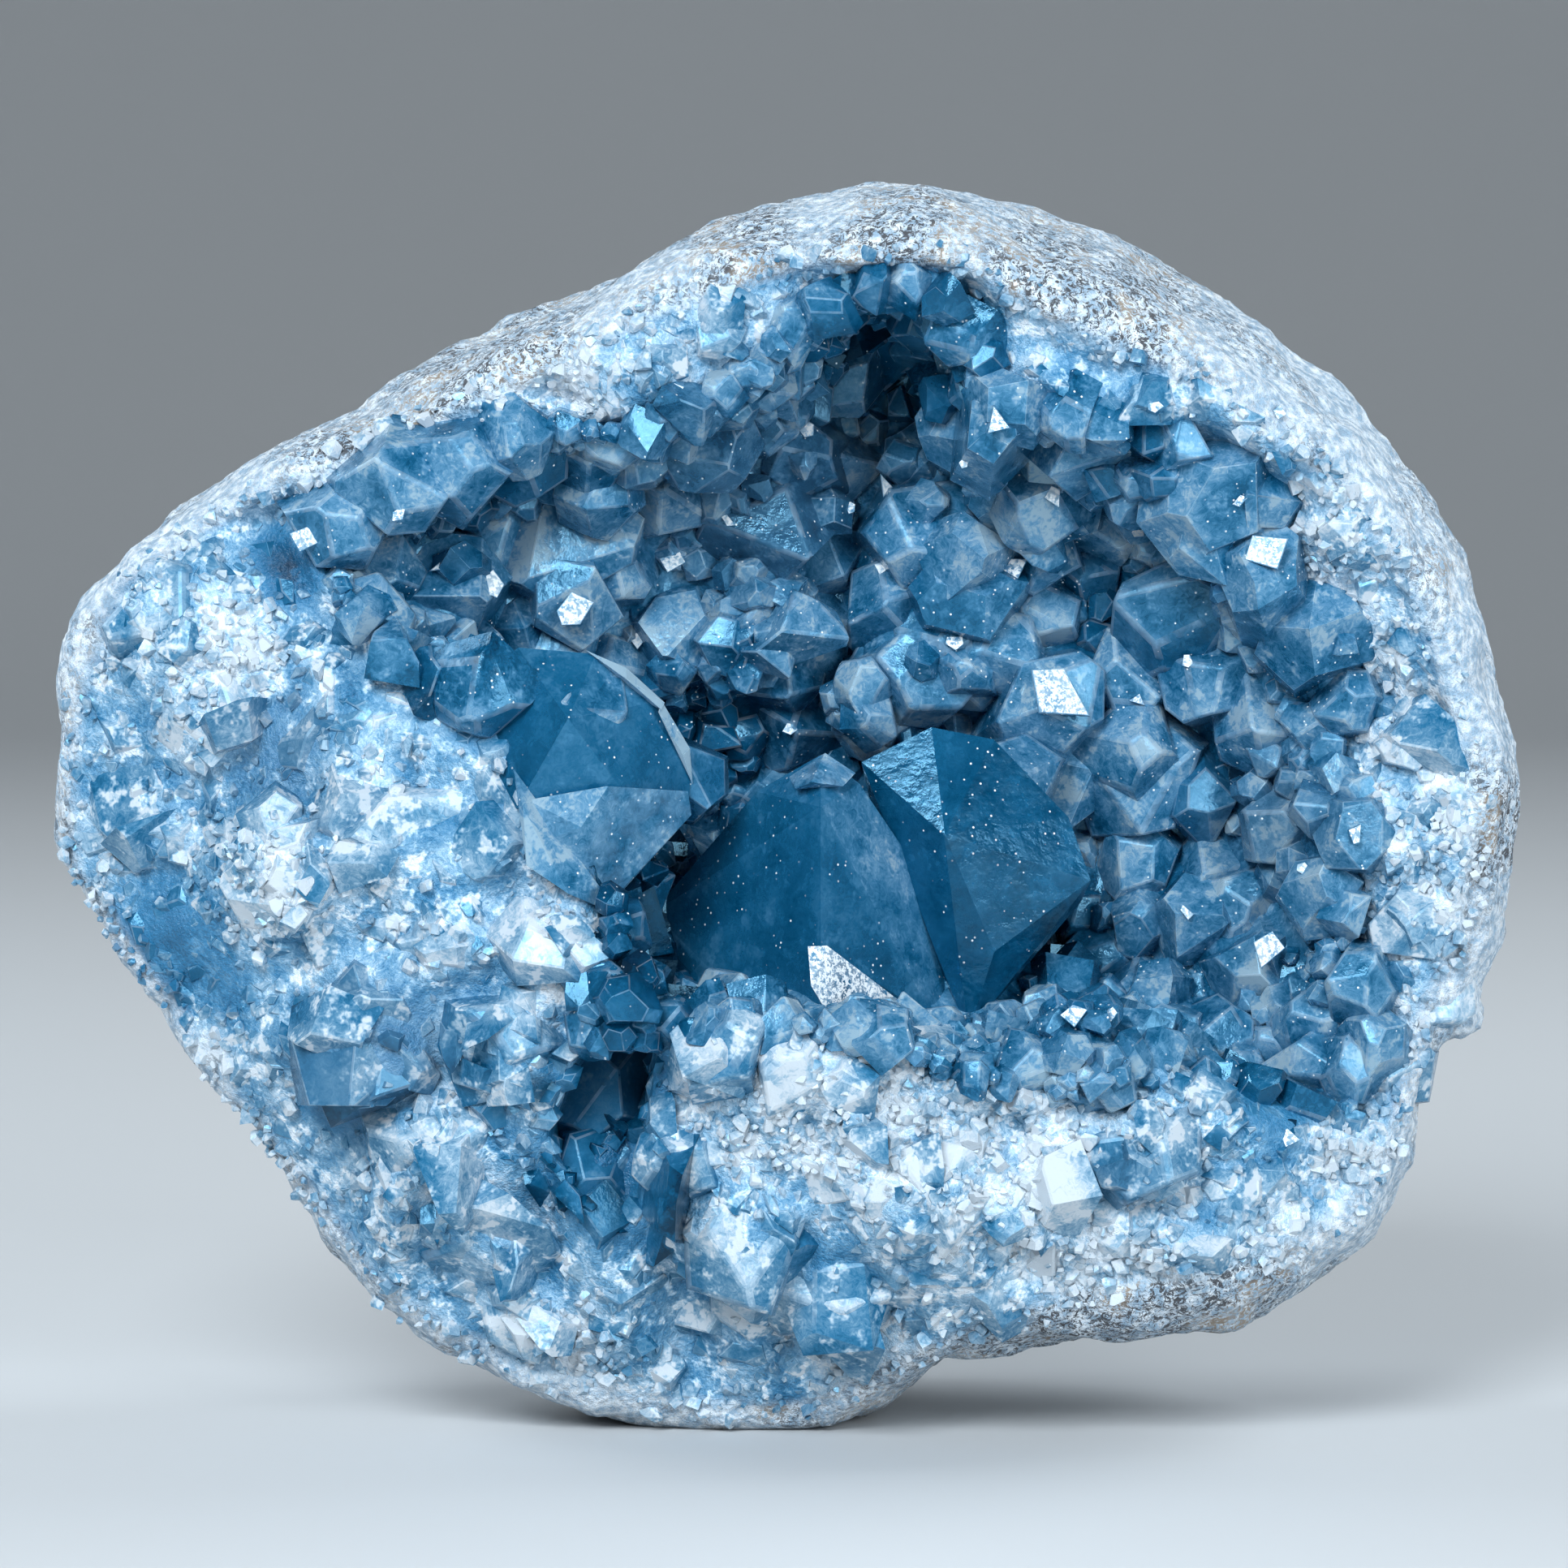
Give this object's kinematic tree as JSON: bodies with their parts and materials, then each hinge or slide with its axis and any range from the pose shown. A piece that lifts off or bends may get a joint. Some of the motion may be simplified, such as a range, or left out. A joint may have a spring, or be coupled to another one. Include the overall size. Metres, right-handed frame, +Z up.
{
  "type": "celestite geode",
  "caption": "Broken-open celestite geode: a lumpy pale rind round a hollow lined with pale to deep blue crystals, standing on a small natural flat.",
  "frame": {"origin": "on the resting flat, under the geode", "axes": "+X to the right when the hollow is faced, +Y away from the hollow's mouth, +Z up"},
  "size_m": [0.2398, 0.1178, 0.2029],
  "materials": {
    "massive_celestite": "rough rind, sugary broken faces",
    "clear_celestite": "glassy crystal faces"
  },
  "bodies": {
    "root": {"geode_shell": "massive_celestite", "crystal_crust": "clear_celestite"}
  },
  "joints": []
}
